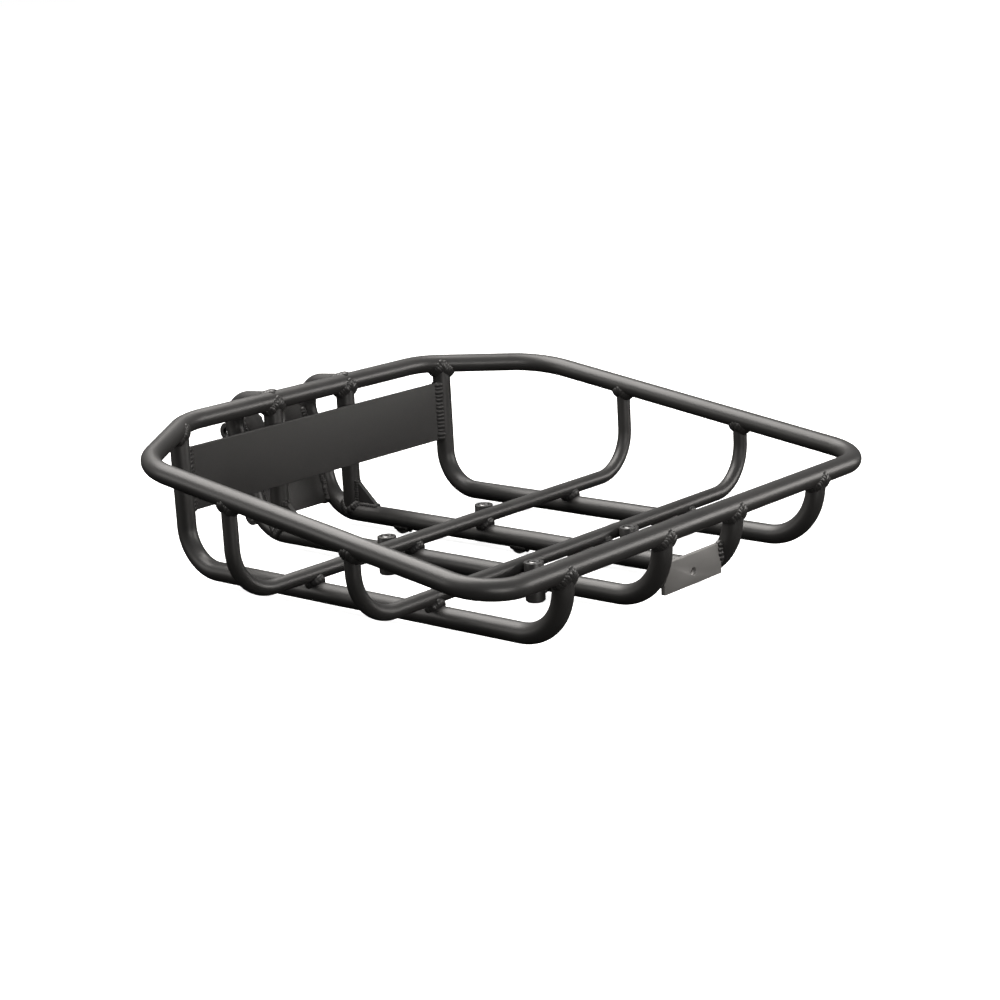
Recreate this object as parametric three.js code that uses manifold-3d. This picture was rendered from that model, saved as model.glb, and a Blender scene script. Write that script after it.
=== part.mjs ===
// Bicycle front basket rack: a welded cargo basket of bent aluminium tube.
// Millimetres, +Z up, front of the rack towards -Y, origin under the middle of its base.
import * as THREE from 'three';
import { mergeVertices } from 'three/addons/utils/BufferGeometryUtils.js';
import Module from 'manifold-3d';

// ---- Stock and clearances
const TUBE = 16;             // outer diameter of the rim, rails and posts
const CROSS_TUBE = 12;       // outer diameter of the two tubes laid over the rails
const GAP = 0.3;             // root gap left where two pieces are welded
const TUBE_SIDES = 16;
const CROSS_SIDES = 14;
const BEND_STEP = 11;        // degrees turned between two sections of a bend

// ---- Rim: a six-sided hoop that slopes up from front to rear
const RIM_HALF_WIDTH = 238;
const RIM_DEPTH = 408;
const RIM_CORNER_DEPTH = 61;     // the slanted rear corners start this far ahead of the rear run
const RIM_REAR_HALF_WIDTH = 140.5;
const RIM_SLOPE = THREE.MathUtils.degToRad(8.7);
const RIM_FRONT_BEND = 35;
const RIM_SIDE_BEND = 53;
const RIM_REAR_BEND = 61;

// ---- Floor rails, with their centrelines below the rim's front run
const RAIL_DROP = 52.8;
const RAIL_FRONT_FOOT = 4.7;     // how far the upright's foot stands behind its top
const RAIL_FRONT_BEND = 43;
const OUTER_RAIL_X = 157;
const OUTER_RAIL_FLARE = 4;      // extra spread of the front upright's top
const OUTER_REAR_BEND = 34;
const INNER_RAIL_X = 43.5;
const INNER_RAIL_FLARE = 2;
const INNER_BACK_REACH = 23;     // how far the back bend's corner lies behind the rim
const INNER_BACK_BEND = 36;
const INNER_LEAN = THREE.MathUtils.degToRad(16.2);
const INNER_TOP_BEND = 22;
const INNER_TOP_DROP = 4;        // the top corner lies this far below the rim's rear run

// ---- Cross tubes
const CROSS_REAR_Y = 253;
const CROSS_FRONT_Y = 127.5;
const CROSS_BEND = 38;

// ---- Rear plate, posts and gussets
const PLATE_THICKNESS = 4;
const REAR_PLATE_HEIGHT = 52.5;
const REAR_PLATE_DROP = 18;      // plate's top edge below the rim's rear centreline
const GUSSET_LENGTH = 23;
const GUSSET_HEIGHT = 21;

// ---- Mounting bracket and lugs behind the basket
const BRACKET_THICKNESS = 5;
const BRACKET_BELOW = 7;         // lower edge above the rails' centreline
const BRACKET_HEIGHT = 91;
const BRACKET_SLOT_WIDTH = 26;
const BRACKET_SLOT_DEPTH = 18;
const BRACKET_CHAMFER = 3.5;
const LUG_RADIUS = 8;
const LUG_HOLE = 8;
const LUG_REACH = 3;             // hole centre behind the rail's rear surface
const UPPER_LUG_RISE = 86;       // rail centreline point that carries the upper lug
const LOWER_LUG_ANGLE = THREE.MathUtils.degToRad(32.6);

// ---- Lamp plate between the front bends
const LAMP_PLATE_HEIGHT = 24;
const LAMP_PLATE_RISE = 25.8;    // plate's top edge above the rails' centreline
const LAMP_PLATE_SETBACK = 8.4;
const LAMP_HOLE = 6;
const LAMP_HOLE_DROP = 14;

// ---- Bosses and their screws
const BOSS_DIAMETER = 15.5;
const BOSS_TOP_BELOW_CROSS = 0.8;
const BOSS_BELOW_RAIL = 4;       // the boss feet carry the rack clear of a table
const BOSS_CROSS_CLEARANCE = 1;
const BOSS_CHAMFER = 1.2;
const BOSS_BORE = 6.6;
const COUNTERBORE = 9.6;
const COUNTERBORE_DEPTH = 2.2;
const SCREW_HEAD = 9;
const SCREW_HEAD_HEIGHT = 1.9;
const SCREW_SHANK = 6;
const SCREW_LENGTH = 16;
const HEX_SOCKET = 4;
const HEX_DEPTH = 1.4;

// ---- Half-round tabs under the right inner rail
const TAB_INSET = 3;             // tab's middle plane inboard of the rail's centreline
const TAB_WIDTH = 17;
const TAB_THICKNESS = 4;
const TAB_DROP = 11.6;           // tab's lowest point below the rail's centreline
const TAB_REAR_AHEAD = 62;       // rear tab ahead of the rim's rear run
const TAB_FRONT_Y = 213.5;

// ---- Values worked out from the sizes above
const TUBE_RADIUS = TUBE / 2;
const CROSS_RADIUS = CROSS_TUBE / 2;
const RIM_SIDE_LENGTH = RIM_DEPTH - RIM_CORNER_DEPTH;
const rimZ = (y) => y * Math.tan(RIM_SLOPE);
const RAIL_Z = -RAIL_DROP;
const CROSS_Z = RAIL_Z + TUBE_RADIUS + CROSS_RADIUS + GAP;
const RIM_REAR_Z = rimZ(RIM_DEPTH);
const BACK_CORNER_Y = RIM_DEPTH + INNER_BACK_REACH;
const TOP_CORNER_Z = RIM_REAR_Z - INNER_TOP_DROP;
const leanY = (z) => BACK_CORNER_Y + (z - RAIL_Z) * Math.tan(INNER_LEAN);
const BACK_BEND_START = BACK_CORNER_Y - INNER_BACK_BEND * Math.tan((Math.PI / 2 - INNER_LEAN) / 2);
const INNER_FACE_X = INNER_RAIL_X - TUBE_RADIUS - GAP;
const LAMP_PLATE_DROP = RAIL_DROP - LAMP_PLATE_RISE;
const TAB_REAR_Y = RIM_DEPTH - TAB_REAR_AHEAD;

const wasm = await Module();
wasm.setup();

// ---------------------------------------------------------------- solids and cuts

// A closed geometry as a manifold solid.
function toSolid(geometry) {
  const bare = geometry.clone();
  bare.deleteAttribute('normal');
  bare.deleteAttribute('uv');
  const merged = mergeVertices(bare, 1e-4);
  const vertProperties = new Float32Array(merged.attributes.position.array);
  const triVerts = new Uint32Array(merged.index.array);
  return new wasm.Manifold(new wasm.Mesh({ numProp: 3, vertProperties, triVerts }));
}

// A manifold solid as a geometry.
function toGeometry(solid) {
  const mesh = solid.getMesh();
  const geometry = new THREE.BufferGeometry();
  geometry.setAttribute('position', new THREE.BufferAttribute(mesh.vertProperties, 3));
  geometry.setIndex(new THREE.BufferAttribute(mesh.triVerts, 1));
  geometry.computeVertexNormals();
  return geometry;
}

// The geometry with each tool taken away from it.
function cut(geometry, ...tools) {
  let solid = toSolid(geometry);
  for (const tool of tools) solid = solid.subtract(toSolid(tool));
  return toGeometry(solid);
}

// ---------------------------------------------------------------- bent tube

// A centreline of straight runs and round bends, with sections only where they are needed.
class BentLine extends THREE.Curve {
  constructor(corners, bends) {
    super();
    this.places = [corners[0].clone()];
    this.headings = [corners[1].clone().sub(corners[0]).normalize()];
    for (let i = 1; i < corners.length - 1; i++) {
      this.addBend(corners[i - 1], corners[i], corners[i + 1], bends[i - 1]);
    }
    this.places.push(corners.at(-1).clone());
    this.headings.push(corners.at(-1).clone().sub(corners.at(-2)).normalize());
  }

  addBend(before, corner, after, radius) {
    const into = corner.clone().sub(before).normalize();
    const away = after.clone().sub(corner).normalize();
    const turn = into.angleTo(away);
    const steps = Math.ceil(THREE.MathUtils.radToDeg(turn) / BEND_STEP);
    const start = corner.clone().addScaledVector(into, -radius * Math.tan(turn / 2));
    const axis = into.clone().cross(away).normalize();
    const centre = start.clone().addScaledVector(axis.clone().cross(into), radius);
    for (let i = 0; i <= steps; i++) {
      const angle = turn * i / steps;
      this.places.push(start.clone().sub(centre).applyAxisAngle(axis, angle).add(centre));
      this.headings.push(into.clone().applyAxisAngle(axis, angle));
    }
  }

  get steps() {
    return this.places.length - 1;
  }

  getPoint(t, target = new THREE.Vector3()) {
    return target.copy(this.places[Math.round(t * this.steps)]);
  }

  getPointAt(u, target) {
    return this.getPoint(u, target);
  }

  getTangentAt(u, target = new THREE.Vector3()) {
    return target.copy(this.headings[Math.round(u * this.steps)]);
  }
}

// A round bar of the given diameter along a bent centreline.
function bentBar(corners, bends, diameter, sides = TUBE_SIDES) {
  const line = new BentLine(corners, bends);
  const ring = [];
  for (let i = 0; i < sides; i++) {
    const angle = (i + 0.5) * 2 * Math.PI / sides;
    ring.push(new THREE.Vector2(Math.cos(angle), Math.sin(angle)).multiplyScalar(diameter / 2));
  }
  const section = new THREE.Shape(ring);
  return new THREE.ExtrudeGeometry(section, { steps: line.steps, extrudePath: line, bevelEnabled: false });
}

const point = (x, y, z) => new THREE.Vector3(x, y, z);

// ---------------------------------------------------------------- rim and rails

// One half of the rim, a little past the middle so that both halves join into one hoop.
function rimHalf(side, diameter) {
  const corners = [
    point(-side * 0.5, 0, 0),
    point(side * RIM_HALF_WIDTH, 0, 0),
    point(side * RIM_HALF_WIDTH, RIM_SIDE_LENGTH, rimZ(RIM_SIDE_LENGTH)),
    point(side * RIM_REAR_HALF_WIDTH, RIM_DEPTH, RIM_REAR_Z),
    point(-side * 0.5, RIM_DEPTH, RIM_REAR_Z),
  ];
  return bentBar(corners, [RIM_FRONT_BEND, RIM_SIDE_BEND, RIM_REAR_BEND], diameter);
}

function rimTube(extra = 0) {
  const left = toSolid(rimHalf(-1, TUBE + extra));
  const right = toSolid(rimHalf(1, TUBE + extra));
  return toGeometry(left.add(right));
}

// How far back the rim's centreline lies at a place on its chamfered rear corner.
function rimChamferY(x) {
  const along = (RIM_HALF_WIDTH - x) / (RIM_HALF_WIDTH - RIM_REAR_HALF_WIDTH);
  return RIM_SIDE_LENGTH + along * (RIM_DEPTH - RIM_SIDE_LENGTH);
}

const OUTER_REAR_Y = rimChamferY(OUTER_RAIL_X);

function outerRail(side, extra = 0) {
  const corners = [
    point(side * (OUTER_RAIL_X + OUTER_RAIL_FLARE), 0, -1),
    point(side * OUTER_RAIL_X, RAIL_FRONT_FOOT, RAIL_Z),
    point(side * OUTER_RAIL_X, OUTER_REAR_Y, RAIL_Z),
    point(side * OUTER_RAIL_X, OUTER_REAR_Y, rimZ(OUTER_REAR_Y) - 1),
  ];
  return bentBar(corners, [RAIL_FRONT_BEND, OUTER_REAR_BEND], TUBE + extra);
}

function innerRail(side, extra = 0) {
  const corners = [
    point(side * (INNER_RAIL_X + INNER_RAIL_FLARE), 0, -1),
    point(side * INNER_RAIL_X, RAIL_FRONT_FOOT, RAIL_Z),
    point(side * INNER_RAIL_X, BACK_CORNER_Y, RAIL_Z),
    point(side * INNER_RAIL_X, leanY(TOP_CORNER_Z), TOP_CORNER_Z),
    point(side * INNER_RAIL_X, RIM_DEPTH + 1, RIM_REAR_Z),
  ];
  return bentBar(corners, [RAIL_FRONT_BEND, INNER_BACK_BEND, INNER_TOP_BEND], TUBE + extra);
}

function crossTube(y) {
  const corners = [
    point(-RIM_HALF_WIDTH, y, rimZ(y) - 1),
    point(-RIM_HALF_WIDTH, y, CROSS_Z),
    point(RIM_HALF_WIDTH, y, CROSS_Z),
    point(RIM_HALF_WIDTH, y, rimZ(y) - 1),
  ];
  return bentBar(corners, [CROSS_BEND, CROSS_BEND], CROSS_TUBE, CROSS_SIDES);
}

function rearPost(side, extra = 0) {
  const top = point(side * INNER_RAIL_X, RIM_DEPTH, RIM_REAR_Z - 1);
  const foot = point(side * INNER_RAIL_X, RIM_DEPTH, RAIL_Z + 1);
  return bentBar([top, foot], [], TUBE + extra);
}

// ---------------------------------------------------------------- plates

// A plate standing across the rack: its outline is drawn in X and Z, at depth y.
function crossPlate(outline, thickness, y) {
  const geometry = new THREE.ExtrudeGeometry(outline, { depth: thickness, bevelEnabled: false, curveSegments: 10 });
  geometry.rotateX(Math.PI / 2);
  return geometry.translate(0, y + thickness / 2, 0);
}

// A plate standing along the rack: its outline is drawn in Y and Z, at the given x.
function sidePlate(outline, thickness, x) {
  const geometry = new THREE.ExtrudeGeometry(outline, { depth: thickness, bevelEnabled: false, curveSegments: 8 });
  const turn = new THREE.Matrix4().makeBasis(point(0, 1, 0), point(0, 0, 1), point(1, 0, 0));
  geometry.applyMatrix4(turn);
  return geometry.translate(x - thickness / 2, 0, 0);
}

const outline = (...corners) => new THREE.Shape(corners.map(([u, v]) => new THREE.Vector2(u, v)));
const roundHole = (u, v, diameter) => new THREE.Path().absarc(u, v, diameter / 2, 0, 2 * Math.PI, true);

// The long flat plate between the outer rails' rear uprights, in front of the posts.
function rearPlate() {
  const half = OUTER_RAIL_X - TUBE_RADIUS - GAP;
  const top = RIM_REAR_Z - REAR_PLATE_DROP;
  const bottom = top - REAR_PLATE_HEIGHT;
  const y = RIM_DEPTH - TUBE_RADIUS - GAP - PLATE_THICKNESS / 2;
  return crossPlate(outline([-half, bottom], [half, bottom], [half, top], [-half, top]), PLATE_THICKNESS, y);
}

function gusset(side) {
  const rail = RAIL_Z + TUBE_RADIUS;
  const post = RIM_DEPTH - TUBE_RADIUS;
  const shape = outline(
    [post - GUSSET_LENGTH, rail - TUBE_RADIUS / 2],
    [post + TUBE_RADIUS / 2, rail - TUBE_RADIUS / 2],
    [post + TUBE_RADIUS / 2, rail + GUSSET_HEIGHT],
    [post, rail + GUSSET_HEIGHT],
    [post - GUSSET_LENGTH, rail],
  );
  return sidePlate(shape, PLATE_THICKNESS, side * INNER_RAIL_X);
}

// The leaning plate between the inner rails, with a slot that leaves two ears at its top.
function bracketPlate() {
  const half = INNER_FACE_X;
  const slot = BRACKET_SLOT_WIDTH / 2;
  const shape = new THREE.Shape();
  shape.moveTo(-half, 0).lineTo(half, 0).lineTo(half, BRACKET_HEIGHT - BRACKET_CHAMFER);
  shape.lineTo(half - BRACKET_CHAMFER, BRACKET_HEIGHT).lineTo(slot + BRACKET_CHAMFER, BRACKET_HEIGHT);
  shape.lineTo(slot, BRACKET_HEIGHT - BRACKET_CHAMFER);
  shape.absarc(0, BRACKET_HEIGHT - BRACKET_SLOT_DEPTH + slot, slot, 0, Math.PI, true);
  shape.lineTo(-slot, BRACKET_HEIGHT - BRACKET_CHAMFER).lineTo(-slot - BRACKET_CHAMFER, BRACKET_HEIGHT);
  shape.lineTo(-half + BRACKET_CHAMFER, BRACKET_HEIGHT).lineTo(-half, BRACKET_HEIGHT - BRACKET_CHAMFER);
  const geometry = crossPlate(shape, BRACKET_THICKNESS, 0);
  geometry.rotateX(-INNER_LEAN);
  const foot = RAIL_Z + BRACKET_BELOW;
  return geometry.translate(0, leanY(foot), foot);
}

// A rounded lug with a hole, standing out behind an inner rail.
// (y, z) is a point on the rail's centreline, and angle is the lug's direction above +Y.
function mountLug(side, y, z, angle) {
  const reach = TUBE_RADIUS + LUG_REACH;
  const shape = new THREE.Shape();
  shape.moveTo(TUBE_RADIUS / 2, -LUG_RADIUS).lineTo(reach, -LUG_RADIUS);
  shape.absarc(reach, 0, LUG_RADIUS, -Math.PI / 2, Math.PI / 2, false);
  shape.lineTo(TUBE_RADIUS / 2, LUG_RADIUS);
  shape.holes.push(roundHole(reach, 0, LUG_HOLE));
  const geometry = sidePlate(shape, PLATE_THICKNESS, side * INNER_RAIL_X);
  geometry.rotateX(angle).translate(0, y, z);
  return cut(geometry, innerRail(side, 2 * GAP));
}

function upperLug(side) {
  const z = RAIL_Z + UPPER_LUG_RISE;
  return mountLug(side, leanY(z), z, -INNER_LEAN);
}

function lowerLug(side) {
  const y = BACK_BEND_START + INNER_BACK_BEND * Math.cos(LOWER_LUG_ANGLE);
  const z = RAIL_Z + INNER_BACK_BEND * (1 - Math.sin(LOWER_LUG_ANGLE));
  return mountLug(side, y, z, -LOWER_LUG_ANGLE);
}

// The small plate between the inner rails' front bends. Its top corners just clear the rails.
function lampPlate() {
  const spread = INNER_RAIL_FLARE * (1 - LAMP_PLATE_DROP / RAIL_DROP);
  const half = INNER_FACE_X + spread;
  const shape = outline(
    [-half, -LAMP_PLATE_DROP - LAMP_PLATE_HEIGHT], [half, -LAMP_PLATE_DROP - LAMP_PLATE_HEIGHT],
    [half, -LAMP_PLATE_DROP], [-half, -LAMP_PLATE_DROP],
  );
  shape.holes.push(roundHole(0, -LAMP_PLATE_DROP - LAMP_HOLE_DROP, LAMP_HOLE));
  return crossPlate(shape, PLATE_THICKNESS, LAMP_PLATE_SETBACK);
}

// A half-round tab under the right inner rail, with its top shaped to the rail.
function railTab(y) {
  const half = TAB_WIDTH / 2;
  const shape = new THREE.Shape();
  const centre = RAIL_Z - TAB_DROP + half;
  shape.moveTo(y - half, RAIL_Z).lineTo(y - half, centre);
  shape.absarc(y, centre, half, Math.PI, 2 * Math.PI, false);
  shape.lineTo(y + half, RAIL_Z);
  return cut(sidePlate(shape, TAB_THICKNESS, INNER_RAIL_X - TAB_INSET), innerRail(1, 2 * GAP));
}

// ---------------------------------------------------------------- bosses and screws

const BOSS_RADIUS = BOSS_DIAMETER / 2;
const BOSS_TOP = CROSS_Z + CROSS_RADIUS - BOSS_TOP_BELOW_CROSS;
const BOSS_FOOT = RAIL_Z - TUBE_RADIUS - BOSS_BELOW_RAIL;
const BOSS_X = INNER_RAIL_X + TUBE_RADIUS + BOSS_RADIUS + GAP;
const BOSS_OFFSET = CROSS_RADIUS + BOSS_RADIUS + BOSS_CROSS_CLEARANCE;

// A turned profile about the Z axis, given as radius and height pairs that close on themselves.
function turned(profile, segments) {
  const points = profile.map(([radius, height]) => new THREE.Vector2(radius, height));
  return new THREE.LatheGeometry(points, segments).rotateX(Math.PI / 2);
}

function boss() {
  const height = BOSS_TOP - BOSS_FOOT;
  const bore = BOSS_BORE / 2;
  const sink = COUNTERBORE / 2;
  return turned([
    [bore, 0],
    [BOSS_RADIUS - BOSS_CHAMFER, 0],
    [BOSS_RADIUS, BOSS_CHAMFER],
    [BOSS_RADIUS, height - BOSS_CHAMFER / 2],
    [BOSS_RADIUS - BOSS_CHAMFER / 2, height],
    [sink, height],
    [sink, height - COUNTERBORE_DEPTH],
    [bore, height - COUNTERBORE_DEPTH],
    [bore, 0],
  ], 24);
}

// A socket screw with its head's underside at height 0.
function bossScrew() {
  const head = SCREW_HEAD / 2;
  const shank = SCREW_SHANK / 2;
  const bar = turned([
    [0, -SCREW_LENGTH],
    [shank, -SCREW_LENGTH],
    [shank, 0],
    [head, 0],
    [head, SCREW_HEAD_HEIGHT * 0.6],
    [head * 0.8, SCREW_HEAD_HEIGHT],
    [0, SCREW_HEAD_HEIGHT],
  ], 20);
  const socket = new THREE.CylinderGeometry(HEX_SOCKET / 2, HEX_SOCKET / 2, 2 * HEX_DEPTH, 6);
  socket.rotateX(Math.PI / 2).translate(0, 0, SCREW_HEAD_HEIGHT);
  return cut(bar, socket);
}

// ---------------------------------------------------------------- the rack

const rack = new THREE.Group();

function add(name, geometry, color = 0x232325, roughness = 0.5, metalness = 0.25) {
  const mesh = new THREE.Mesh(geometry, new THREE.MeshStandardMaterial({ color, roughness, metalness }));
  mesh.name = name;
  rack.add(mesh);
  return mesh;
}

const rimTool = rimTube(2 * GAP);
add('rim_tube', rimTube());

for (const [side, name] of [[-1, 'left'], [1, 'right']]) {
  const railTool = innerRail(side, 2 * GAP);
  add(`outer_rail_${name}`, cut(outerRail(side), rimTool));
  add(`inner_rail_${name}`, cut(innerRail(side), rimTool));
  add(`rear_post_${name}`, cut(rearPost(side), rimTool, railTool));
  add(`gusset_${name}`, cut(gusset(side), railTool, rearPost(side, 2 * GAP)), 0x2a2a2c);
  add(`mount_lug_upper_${name}`, upperLug(side), 0x2a2a2c);
  add(`mount_lug_lower_${name}`, lowerLug(side), 0x2a2a2c);
}

add('cross_tube_rear', cut(crossTube(CROSS_REAR_Y), rimTool));
add('cross_tube_front', cut(crossTube(CROSS_FRONT_Y), rimTool));
add('rear_plate', rearPlate(), 0x2c2b2a);
add('bracket_plate', bracketPlate(), 0x2c2b2a);
add('lamp_plate', lampPlate(), 0x3a3939);
add('rail_tab_rear', railTab(TAB_REAR_Y), 0x2a2a2c);
add('rail_tab_front', railTab(TAB_FRONT_Y), 0x2a2a2c);

for (const [row, y] of [['rear', CROSS_REAR_Y + BOSS_OFFSET], ['front', CROSS_FRONT_Y - BOSS_OFFSET]]) {
  for (const [side, name] of [[-1, 'left'], [1, 'right']]) {
    add(`boss_${row}_${name}`, boss()).position.set(side * BOSS_X, y, BOSS_FOOT);
    const screw = add(`boss_screw_${row}_${name}`, bossScrew(), 0x6f6f70, 0.35, 0.9);
    screw.position.set(side * BOSS_X, y, BOSS_TOP - COUNTERBORE_DEPTH + GAP);
  }
}

// The origin goes to the middle of the base.
const box = new THREE.Box3().setFromObject(rack);
rack.position.set(-(box.min.x + box.max.x) / 2, -(box.min.y + box.max.y) / 2, -box.min.z);

export default rack;
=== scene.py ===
# %% [markdown]
# # A bicycle's front basket rack
#
# The real rack is bent from two sizes of aluminium tube, welded, and powder coated in satin black.
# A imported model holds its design: where each tube runs, how wide each plate is, where the bosses stand.
# Here the looks are built around that model: round tubes, rippled weld beads, softened plate edges,
# turned bosses with their screws, and one coat over all of it.

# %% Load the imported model
import math

import bmesh
import bpy
from mathutils import Matrix, Vector


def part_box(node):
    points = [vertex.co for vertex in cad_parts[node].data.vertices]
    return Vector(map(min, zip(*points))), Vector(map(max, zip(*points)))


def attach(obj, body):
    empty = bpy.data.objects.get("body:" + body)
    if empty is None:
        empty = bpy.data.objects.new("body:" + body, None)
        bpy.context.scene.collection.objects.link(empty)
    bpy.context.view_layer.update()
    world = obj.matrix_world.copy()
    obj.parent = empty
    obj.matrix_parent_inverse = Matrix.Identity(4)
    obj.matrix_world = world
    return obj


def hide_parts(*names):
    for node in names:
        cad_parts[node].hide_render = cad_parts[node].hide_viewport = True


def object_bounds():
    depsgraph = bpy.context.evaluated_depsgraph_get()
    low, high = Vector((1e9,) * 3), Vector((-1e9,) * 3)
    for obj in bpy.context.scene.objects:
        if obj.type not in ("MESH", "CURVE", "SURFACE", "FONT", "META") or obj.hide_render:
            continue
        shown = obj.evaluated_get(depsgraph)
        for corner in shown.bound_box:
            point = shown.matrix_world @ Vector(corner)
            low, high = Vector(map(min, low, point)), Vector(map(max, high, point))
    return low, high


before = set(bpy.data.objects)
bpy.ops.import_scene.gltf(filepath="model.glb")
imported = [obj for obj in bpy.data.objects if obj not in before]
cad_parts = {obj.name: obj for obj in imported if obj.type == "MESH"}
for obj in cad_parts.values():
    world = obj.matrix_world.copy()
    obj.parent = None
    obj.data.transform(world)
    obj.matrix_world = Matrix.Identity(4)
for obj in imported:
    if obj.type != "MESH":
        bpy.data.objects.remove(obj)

cad_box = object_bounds()
MM = 0.001
print("CAD box in mm:", [[round(v / MM, 1) for v in corner] for corner in cad_box])

# %% [markdown]
# ## Sizes
#
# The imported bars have 16 or 14 flat sides, so a bar's box is a little smaller than the round tube.
# Half a bar's thickness across its flats, taken off the box, gives the true centreline. Places come
# from the boxes in that way, and only what a box can't tell, such as a bend's radius, is written out.

# %% Tube sizes and the rim's centreline
TUBE = 16 * MM
CROSS_TUBE = 12 * MM
R = TUBE / 2
CROSS_R = CROSS_TUBE / 2
FLAT = R * math.cos(math.pi / 16)

rim_low, rim_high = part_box("rim_tube")
FRONT_Y = rim_low.y + FLAT
REAR_Y = rim_high.y - FLAT
FRONT_Z = rim_low.z + FLAT
REAR_Z = rim_high.z - FLAT
RIM_X = rim_high.x - R
RIM_SIDE_LENGTH = 347 * MM
RIM_REAR_X = 140.5 * MM
RIM_FRONT_BEND = 35 * MM
RIM_SIDE_BEND = 53 * MM
RIM_REAR_BEND = 61 * MM
SIDE_Y = FRONT_Y + RIM_SIDE_LENGTH
rise = (REAR_Z - FRONT_Z) / (REAR_Y - FRONT_Y)


def rim_z(y):
    """Height of the rim's sloping centreline at a distance back."""
    return FRONT_Z + (y - FRONT_Y) * rise


print(f"rim {2 * RIM_X / MM:.0f} mm wide and {(REAR_Y - FRONT_Y) / MM:.0f} mm deep,",
      f"sloped {math.degrees(math.atan(rise)):.1f} degrees")

# %% Rail and cross tube centrelines
outer_low, outer_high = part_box("outer_rail_right")
inner_low, inner_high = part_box("inner_rail_right")
RAIL_Z = outer_low.z + FLAT
OUTER_X = outer_low.x + FLAT
INNER_X = inner_low.x + FLAT
RAIL_FOOT = 4.7 * MM           # an upright's foot stands this far behind its top
RAIL_BEND = 43 * MM
OUTER_FLARE = 4 * MM
INNER_FLARE = 2 * MM
OUTER_REAR_BEND = 34 * MM
BACK_REACH = 23 * MM           # the inner rails' rear corners lie this far behind the rim
BACK_BEND = 36 * MM
TOP_BEND = 22 * MM
TOP_DROP = 4 * MM
LEAN = math.radians(16.2)
CROSS_BEND = 38 * MM
BACK_Y = REAR_Y + BACK_REACH
TOP_Z = REAR_Z - TOP_DROP
chamfer = (OUTER_X - RIM_X) / (RIM_REAR_X - RIM_X)
OUTER_REAR_Y = SIDE_Y + chamfer * (REAR_Y - SIDE_Y)


def lean_y(z):
    """How far back the inner rails' leaning backs are at a height."""
    return BACK_Y + (z - RAIL_Z) * math.tan(LEAN)


CROSS_Y = {row: sum(corner.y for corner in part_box(f"cross_tube_{row}")) / 2 for row in ("rear", "front")}
CROSS_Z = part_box("cross_tube_front")[0].z + CROSS_R
SIDES = (("left", -1), ("right", 1))
print(f"rails at x {INNER_X / MM:.1f} and {OUTER_X / MM:.1f}, z {RAIL_Z / MM:.1f} mm")

# %% [markdown]
# ## Camera, floor and light
#
# The camera stands low in front of the rack's left corner, with a long lens, and leans a little.
# The floor is a wide pale disc. The coat shows mostly what it mirrors, so the light is a few large
# soft panels: one overhead for the pale line along each tube, and dimmer ones right, left and front.
# The floor is kept out of the mirror images, which leaves the tubes' undersides dark. It also glows
# a little, so that it stays near white and the rack's shadow on it is faint.

# %% Camera
VIEW_AZIMUTH = math.radians(-48.51)
VIEW_ELEVATION = math.radians(13.69)
VIEW_ROLL = math.radians(-3.15)
VIEW_DISTANCE = 1.8055
LENS = 79.54                   # on a sensor 36 mm wide
ASIDE = 30.71 * MM             # the camera's centre line passes this far beside the aim point
ABOVE = 10.33 * MM
aim = Vector((0, FRONT_Y + 238 * MM, FRONT_Z - 23.8 * MM))

back = Vector((math.sin(VIEW_AZIMUTH) * math.cos(VIEW_ELEVATION),
               -math.cos(VIEW_AZIMUTH) * math.cos(VIEW_ELEVATION), math.sin(VIEW_ELEVATION)))
level_right = Vector((0, 0, 1)).cross(back).normalized()
level_up = back.cross(level_right)
right = level_right * math.cos(VIEW_ROLL) + level_up * math.sin(VIEW_ROLL)
up = level_up * math.cos(VIEW_ROLL) - level_right * math.sin(VIEW_ROLL)

camera_data = bpy.data.cameras.new("camera")
camera_data.lens = LENS
camera_data.sensor_width = 36
camera = bpy.data.objects.new("camera", camera_data)
turn = Matrix((right, up, back)).transposed().to_4x4()
camera.matrix_world = Matrix.Translation(aim + back * VIEW_DISTANCE + right * ASIDE + up * ABOVE) @ turn
bpy.context.scene.collection.objects.link(camera)
bpy.context.scene.camera = camera
bpy.context.scene.view_settings.view_transform = "Standard"
print("camera at", [round(v, 3) for v in camera.location])


# %% Floor
def node_material(name):
    """A material with an empty node tree, and that tree."""
    material = bpy.data.materials.new(name)
    material.use_nodes = True
    tree = material.node_tree
    tree.nodes.clear()
    return material, tree


FLOOR_GLOW = 0.85              # lit from below, like a light table, which keeps shadows faint


def floor_material():
    """A matt pale sheet with the faintest mottling."""
    material, tree = node_material("studio_floor")
    place = tree.nodes.new("ShaderNodeTexCoord")
    mottle = tree.nodes.new("ShaderNodeTexNoise")
    mottle.inputs["Scale"].default_value = 3
    tint = tree.nodes.new("ShaderNodeMapRange")
    tint.inputs["To Min"].default_value = 0.90
    tint.inputs["To Max"].default_value = 0.93
    surface = tree.nodes.new("ShaderNodeBsdfPrincipled")
    surface.inputs["Roughness"].default_value = 0.9
    surface.inputs["Specular IOR Level"].default_value = 0.1
    surface.inputs["Emission Color"].default_value = (1, 1, 1, 1)
    surface.inputs["Emission Strength"].default_value = FLOOR_GLOW
    end = tree.nodes.new("ShaderNodeOutputMaterial")
    tree.links.new(place.outputs["Object"], mottle.inputs["Vector"])
    tree.links.new(mottle.outputs["Fac"], tint.inputs["Value"])
    tree.links.new(tint.outputs["Result"], surface.inputs["Base Color"])
    tree.links.new(surface.outputs["BSDF"], end.inputs["Surface"])
    return material


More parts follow.
